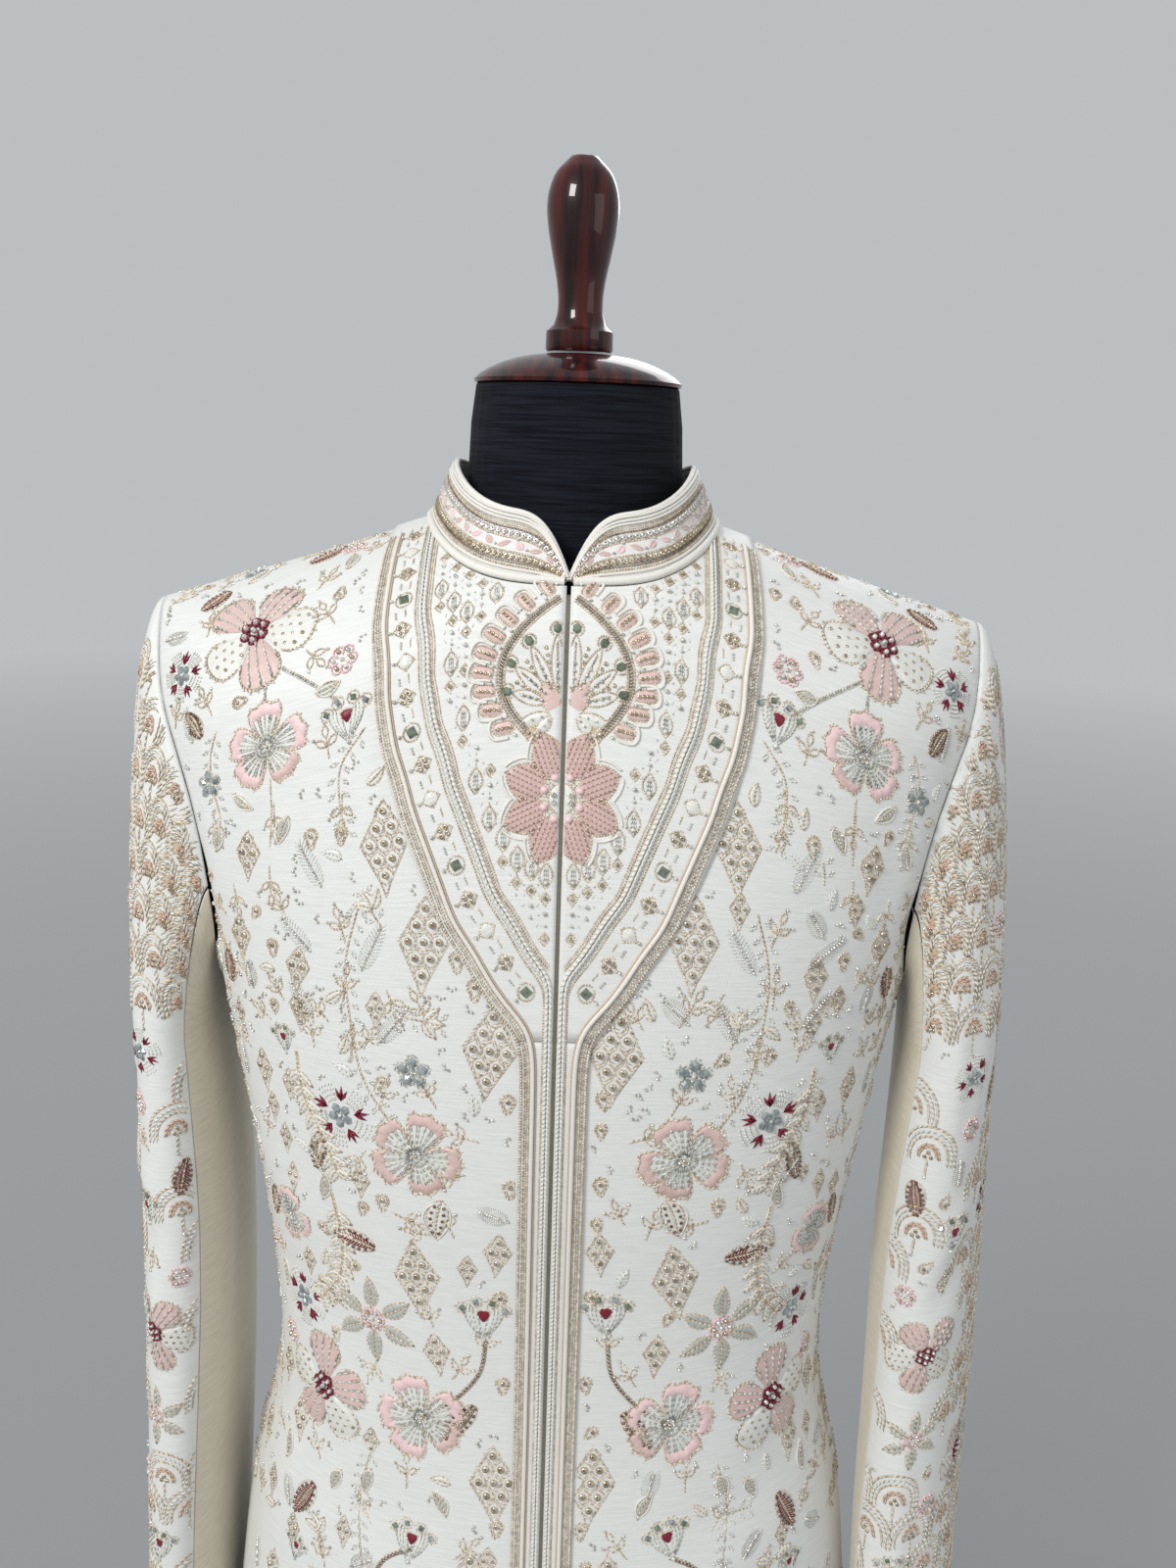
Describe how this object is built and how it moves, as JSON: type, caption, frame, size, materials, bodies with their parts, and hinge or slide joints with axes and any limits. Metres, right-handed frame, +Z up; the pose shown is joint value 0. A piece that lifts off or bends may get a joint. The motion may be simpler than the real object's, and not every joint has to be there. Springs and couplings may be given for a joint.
{
  "type": "sherwani coat on dress form",
  "caption": "Ivory embroidered sherwani coat with stand collar, yoke and set-in sleeves on a limbless dress form with turned wooden cap and round base.",
  "frame": {"origin": "on the floor, under the middle of the stand's base", "axes": "+Z up; the coat front faces -Y; +X is the wearer's left"},
  "size_m": [0.5288, 0.37, 1.6535],
  "materials": {
    "coat_silk": "ivory raw-silk blend with soft sheen, embroidered in zari cord, silk thread, sequins and beads",
    "under_silk": "plain cream silk blend, matte with a faint sheen",
    "white_braid": "ivory cloth edged with white padded braid and piping",
    "form_jersey": "black fine-ribbed jersey",
    "lacquered_wood": "dark mahogany-red turned wood under high-gloss lacquer",
    "painted_pole": "satin black paint on a steel pole"
  },
  "bodies": {
    "root": {"front_left": "coat_silk", "front_right": "coat_silk", "back_left": "coat_silk", "back_right": "coat_silk", "yoke_left": "white_braid", "yoke_right": "white_braid", "centre_band_left": "white_braid", "centre_band_right": "white_braid", "under_strip": "under_silk", "collar": "coat_silk", "collar_piping": "white_braid", "sleeve_upper_left": "coat_silk", "sleeve_upper_right": "coat_silk", "sleeve_under_left": "under_silk", "sleeve_under_right": "under_silk", "form_torso": "form_jersey", "neck_cap": "lacquered_wood", "cap_handle": "lacquered_wood", "stand_base": "lacquered_wood", "stand_pole": "painted_pole"}
  },
  "joints": []
}
